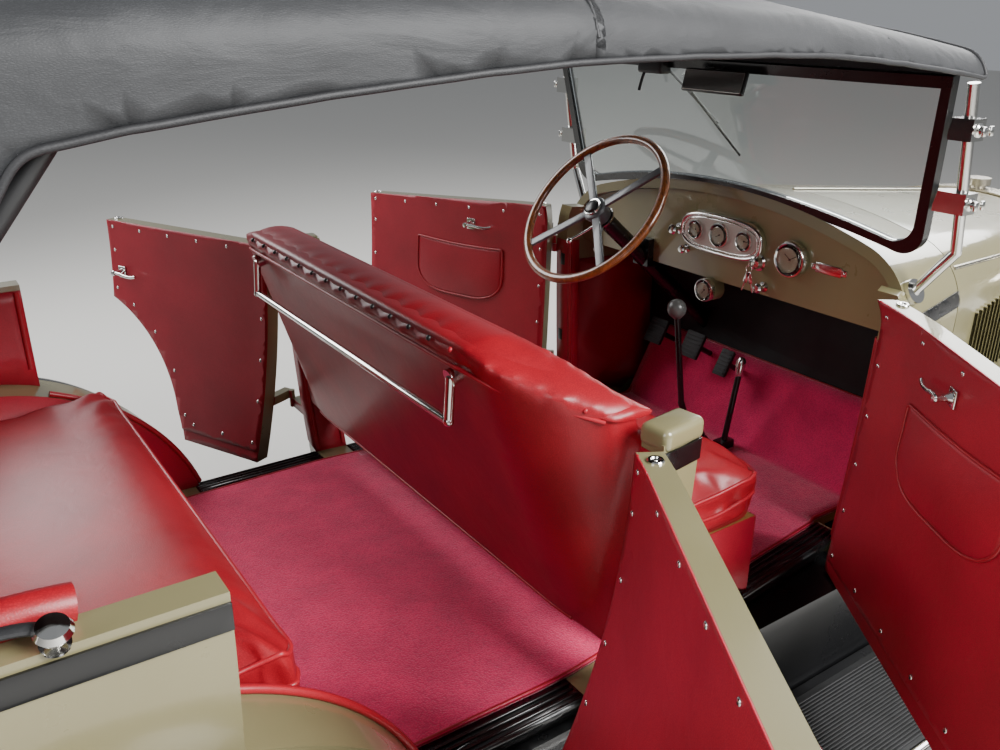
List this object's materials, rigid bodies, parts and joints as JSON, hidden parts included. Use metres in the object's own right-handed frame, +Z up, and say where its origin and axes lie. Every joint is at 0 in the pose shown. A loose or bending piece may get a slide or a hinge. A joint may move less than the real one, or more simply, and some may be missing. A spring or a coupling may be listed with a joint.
{
  "type": "touring car",
  "caption": "Open four-door touring car of the 1920s with its fabric top raised, doors standing open, wooden spoked wheels and swept fenders.",
  "frame": {"origin": "on the ground, midway along the car's length and at its middle line", "axes": "+X forward, +Y to the car's left, +Z up"},
  "size_m": [3.8881, 2.4999, 1.8127],
  "materials": {
    "body_paint": "gloss",
    "black_paint": "gloss",
    "plated": "polished",
    "radiator_core": "dark",
    "iron": "matt",
    "seat_leather": "satin",
    "floor_board": "painted boards",
    "rim_wood": "varnished",
    "lever_steel": "satin",
    "wheel_wood": "varnished",
    "tyre": "matt",
    "top_fabric": "grained",
    "bow_paint": "satin",
    "window": "clear"
  },
  "bodies": {
    "chassis": {"body_tub": "body_paint", "cowl": "body_paint", "dashboard": "body_paint", "frame": "black_paint", "front_axle": "black_paint", "rear_axle": "black_paint", "leaf_springs": "black_paint", "front_fenders": "black_paint", "rear_fenders": "black_paint", "running_boards": "black_paint", "splash_aprons": "black_paint", "spare_rim": "black_paint", "steering_column": "black_paint", "windscreen_frame": "black_paint", "fuel_tank": "black_paint", "tail_lamps": "black_paint", "radiator_shell": "plated", "hood_rod": "plated", "headlamps": "plated", "robe_rail": "plated", "windscreen_posts": "plated", "radiator_core": "radiator_core", "engine": "iron", "drive_line": "iron", "exhaust": "iron", "front_seat_cushion": "seat_leather", "front_seat_back": "seat_leather", "rear_seat_cushion": "seat_leather", "rear_seat_back": "seat_leather", "floor": "floor_board", "floor_controls": "lever_steel", "spare_tyre": "tyre", "top_cover": "top_fabric", "top_bows": "bow_paint", "windscreen_glass": "window"},
    "wheel_rear_left": {"wheel_rear_left": "wheel_wood", "tyre_rear_left": "tyre"},
    "wheel_rear_right": {"wheel_rear_right": "wheel_wood", "tyre_rear_right": "tyre"},
    "knuckle_left": {"knuckle_left": "black_paint"},
    "knuckle_right": {"knuckle_right": "black_paint"},
    "wheel_front_left": {"wheel_front_left": "wheel_wood", "tyre_front_left": "tyre"},
    "wheel_front_right": {"wheel_front_right": "wheel_wood", "tyre_front_right": "tyre"},
    "tie_rod": {"tie_rod": "black_paint"},
    "steering_wheel": {"steering_wheel": "rim_wood"},
    "door_front_left": {"door_front_left": "body_paint"},
    "door_front_right": {"door_front_right": "body_paint"},
    "door_rear_left": {"door_rear_left": "body_paint"},
    "door_rear_right": {"door_rear_right": "body_paint"},
    "hood_left": {"hood_left": "body_paint"},
    "hood_right": {"hood_right": "body_paint"}
  },
  "joints": [
    {"name": "rear_left_roll", "type": "hinge", "parent": "chassis", "child": "wheel_rear_left", "pos_m": [-1.3845, 0.711, 0.381], "axis": [0, 1, 0], "continuous": true},
    {"name": "rear_right_roll", "type": "hinge", "parent": "chassis", "child": "wheel_rear_right", "pos_m": [-1.3845, -0.711, 0.381], "axis": [0, 1, 0], "continuous": true},
    {"name": "steer_left", "type": "hinge", "parent": "chassis", "child": "knuckle_left", "pos_m": [1.4605, 0.607, 0.382], "axis": [0, 0, 1], "range_deg": [-30, 30]},
    {"name": "steer_right", "type": "hinge", "parent": "chassis", "child": "knuckle_right", "pos_m": [1.4605, -0.607, 0.382], "axis": [0, 0, 1], "range_deg": [-30, 30]},
    {"name": "front_left_roll", "type": "hinge", "parent": "knuckle_left", "child": "wheel_front_left", "pos_m": [1.4605, 0.711, 0.381], "axis": [0, 1, 0], "continuous": true},
    {"name": "front_right_roll", "type": "hinge", "parent": "knuckle_right", "child": "wheel_front_right", "pos_m": [1.4605, -0.711, 0.381], "axis": [0, 1, 0], "continuous": true},
    {"name": "tie_rod_turn", "type": "hinge", "parent": "knuckle_left", "child": "tie_rod", "pos_m": [1.3155, 0.607, 0.318], "axis": [0, 0, 1], "range_deg": [-30, 30]},
    {"name": "steering_wheel_turn", "type": "hinge", "parent": "chassis", "child": "steering_wheel", "pos_m": [0.0545, 0.244, 1.26], "axis": [-0.766, 0, 0.6428], "range_deg": [-420, 420]},
    {"name": "front_left_door", "type": "hinge", "parent": "chassis", "child": "door_front_left", "pos_m": [0.1885, 0.566, 0.72], "axis": [0, 0, -1], "range_deg": [-60, 25]},
    {"name": "front_right_door", "type": "hinge", "parent": "chassis", "child": "door_front_right", "pos_m": [0.1885, -0.566, 0.72], "axis": [0, 0, 1], "range_deg": [-50, 35]},
    {"name": "rear_left_door", "type": "hinge", "parent": "chassis", "child": "door_rear_left", "pos_m": [-0.6045, 0.713, 0.72], "axis": [0, 0, -1], "range_deg": [-65, 10]},
    {"name": "rear_right_door", "type": "hinge", "parent": "chassis", "child": "door_rear_right", "pos_m": [-0.6045, -0.713, 0.72], "axis": [0, 0, 1], "range_deg": [-60, 15]},
    {"name": "hood_left_lift", "type": "hinge", "parent": "chassis", "child": "hood_left", "pos_m": [0.5264, 0, 1.299], "axis": [0.9953, 0, -0.0973], "range_deg": [0, 55]},
    {"name": "hood_right_lift", "type": "hinge", "parent": "chassis", "child": "hood_right", "pos_m": [0.5264, 0, 1.299], "axis": [-0.9953, 0, 0.0973], "range_deg": [0, 55]}
  ],
  "couplings": [
    {"joint": "steer_right", "follows": "steer_left", "ratio": 1},
    {"joint": "steering_wheel_turn", "follows": "steer_left", "ratio": 14},
    {"joint": "tie_rod_turn", "follows": "steer_left", "ratio": -1}
  ]
}
